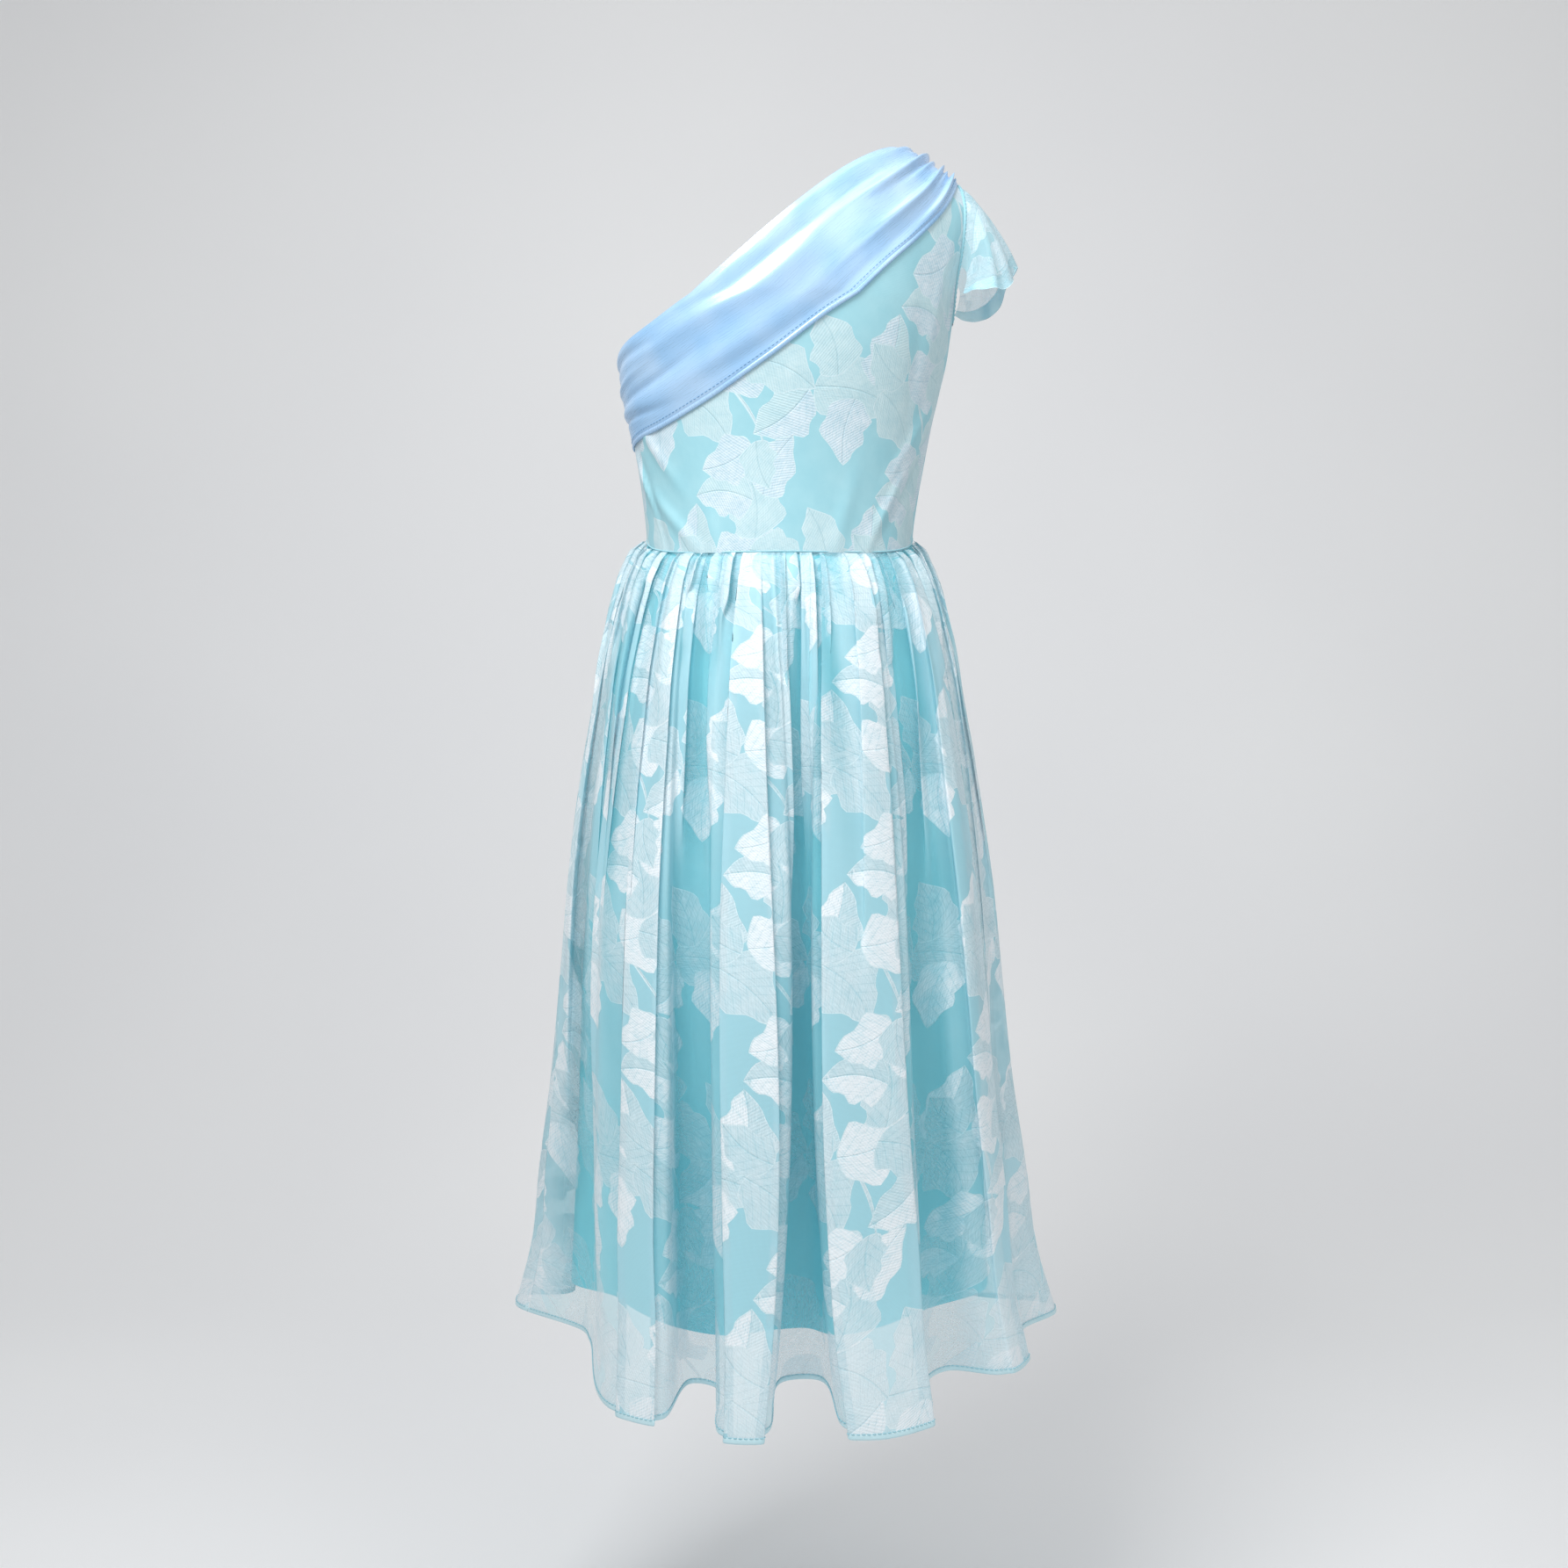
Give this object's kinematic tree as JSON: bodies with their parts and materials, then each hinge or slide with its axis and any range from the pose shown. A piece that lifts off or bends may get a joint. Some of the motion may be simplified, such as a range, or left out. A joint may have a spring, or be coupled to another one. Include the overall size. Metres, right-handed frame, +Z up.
{
  "type": "one-shoulder midi dress",
  "caption": "Worn-form one-shoulder midi dress with a diagonal satin band, a flutter cap sleeve and a gathered leaf-organza skirt over a lining",
  "frame": {"origin": "middle of the shoulder seam on the wearer's right, where the shoulder holds the dress up", "axes": "+Z up, -Y the dress's front, +X the wearer's left"},
  "size_m": [0.5209, 0.5167, 1.0956],
  "materials": {
    "organza_on_lining": "leaf jacquard organza mounted on aqua lining",
    "satin": "sky-blue satin, glossy",
    "organza": "sheer leaf jacquard organza",
    "lining": "plain aqua lining, matt"
  },
  "bodies": {
    "root": {"bodice_back": "organza_on_lining", "bodice_front": "organza_on_lining", "band_back": "satin", "band_front": "satin", "sleeve": "organza", "skirt_back": "organza", "skirt_front": "organza", "lining_back": "lining", "lining_front": "lining"}
  },
  "joints": []
}
